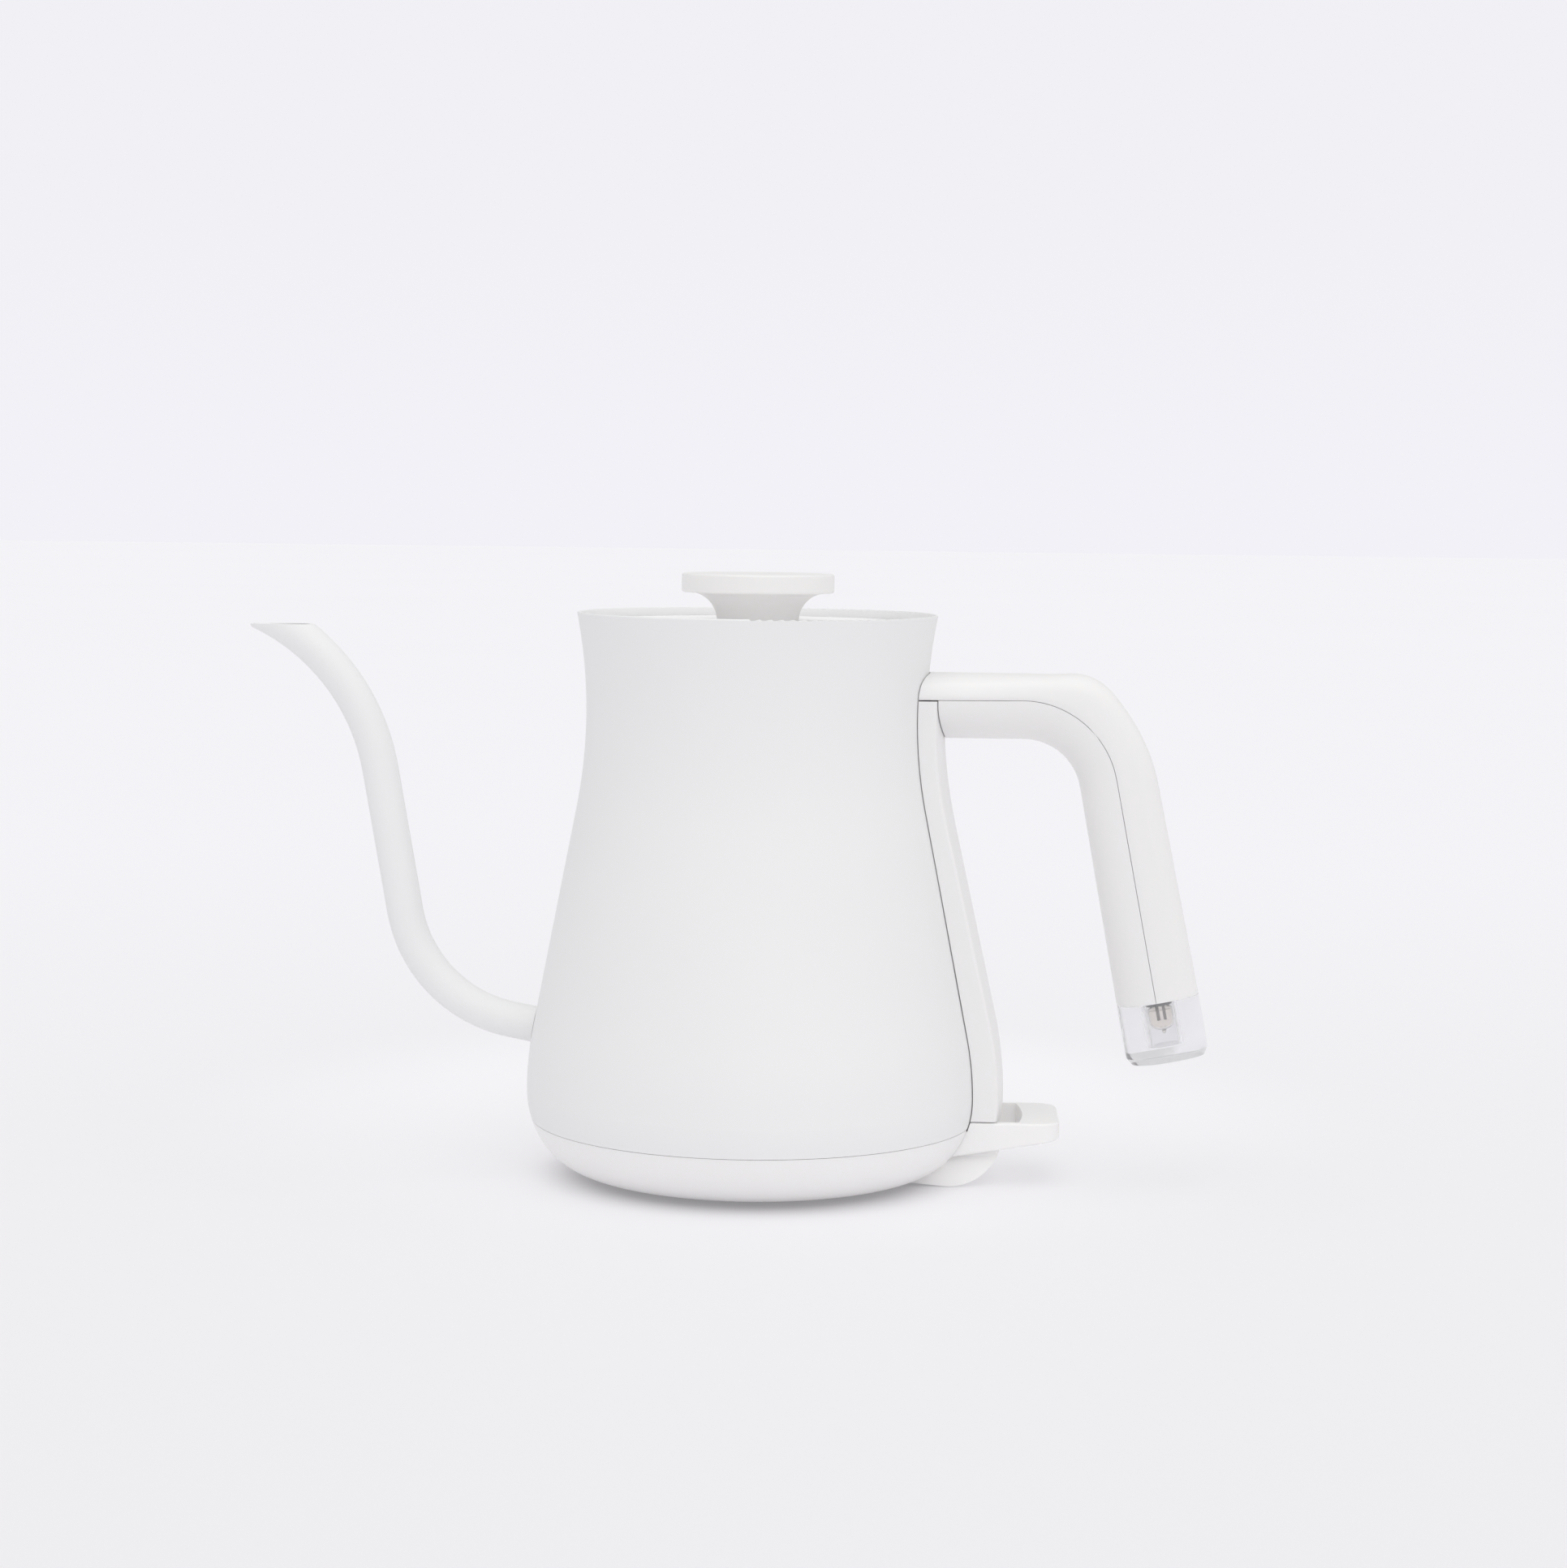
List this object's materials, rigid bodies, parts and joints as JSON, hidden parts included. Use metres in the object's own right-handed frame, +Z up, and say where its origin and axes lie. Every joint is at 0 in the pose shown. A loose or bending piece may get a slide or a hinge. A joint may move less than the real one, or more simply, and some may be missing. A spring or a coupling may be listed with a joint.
{
  "type": "gooseneck kettle",
  "caption": "Electric kettle with a tapered pot, a thin gooseneck spout, a lift-off lid with a disc knob, a hanging handle with a clear lamp tip and a rear foot switch lever.",
  "frame": {"origin": "on the pot's axis at the table, in the plane of the foot ring", "axes": "+Z up along the pot's axis, +X to the handle, the spout points along -X"},
  "size_m": [0.2712, 0.128, 0.17],
  "materials": {
    "coated_steel": "matt white coating on steel",
    "white_plastic": "satin white",
    "clear_tip": "clear plastic, faintly milky",
    "lamp_glass": "thin glass with a faint copper tint",
    "stainless_steel": "brushed",
    "aluminium": "cast, plain",
    "silicone": "matt",
    "brass": "plain",
    "dark_plastic": "matt",
    "lead_cover": "matt"
  },
  "bodies": {
    "kettle": {"body_shell": "coated_steel", "spout_tube": "coated_steel", "base_housing": "white_plastic", "spine_cover": "white_plastic", "handle_outer_shell": "white_plastic", "handle_inner_shell": "white_plastic", "bottom_cover": "white_plastic", "handle_lens": "clear_tip", "neon_lamp": "lamp_glass", "heater_plate": "stainless_steel", "handle_bracket": "stainless_steel", "handle_screws": "stainless_steel", "base_screws": "stainless_steel", "plunger_spring": "stainless_steel", "lamp_electrodes": "stainless_steel", "dry_boil_bimetals": "stainless_steel", "steam_bimetal": "stainless_steel", "heat_spreader": "aluminium", "heating_element": "aluminium", "plate_seal": "silicone", "steam_port_gasket": "silicone", "foot_ring": "silicone", "connector_contacts": "brass", "fixed_contacts": "brass", "connector_unit": "dark_plastic", "switch_frame": "dark_plastic", "lamp_holder": "dark_plastic", "handle_insert": "dark_plastic", "steam_duct": "dark_plastic", "lamp_leads": "lead_cover"},
    "lid": {"lid_cover": "coated_steel", "lid_inner_plate": "stainless_steel", "lid_gasket": "silicone", "lid_knob": "white_plastic", "knob_screw": "stainless_steel"},
    "lever": {"switch_lever": "white_plastic", "lever_pin": "stainless_steel"},
    "plunger": {"switch_plunger": "dark_plastic", "bridge_contact": "brass"}
  },
  "joints": [
    {"name": "lid_lift", "type": "slide", "parent": "kettle", "child": "lid", "axis": [0, 0, 1], "range_m": [0, 0.1]},
    {"name": "lever_press", "type": "hinge", "parent": "kettle", "child": "lever", "pos_m": [0.049, 0, 0.0125], "axis": [0, 1, 0], "range_deg": [0, 8]},
    {"name": "plunger_lift", "type": "slide", "parent": "kettle", "child": "plunger", "axis": [0, 0, 1], "range_m": [0, 0.00125], "deforming": ["plunger_spring"]}
  ],
  "couplings": [
    {"joint": "plunger_lift", "follows": "lever_press", "m_per_rad": 0.0087}
  ]
}
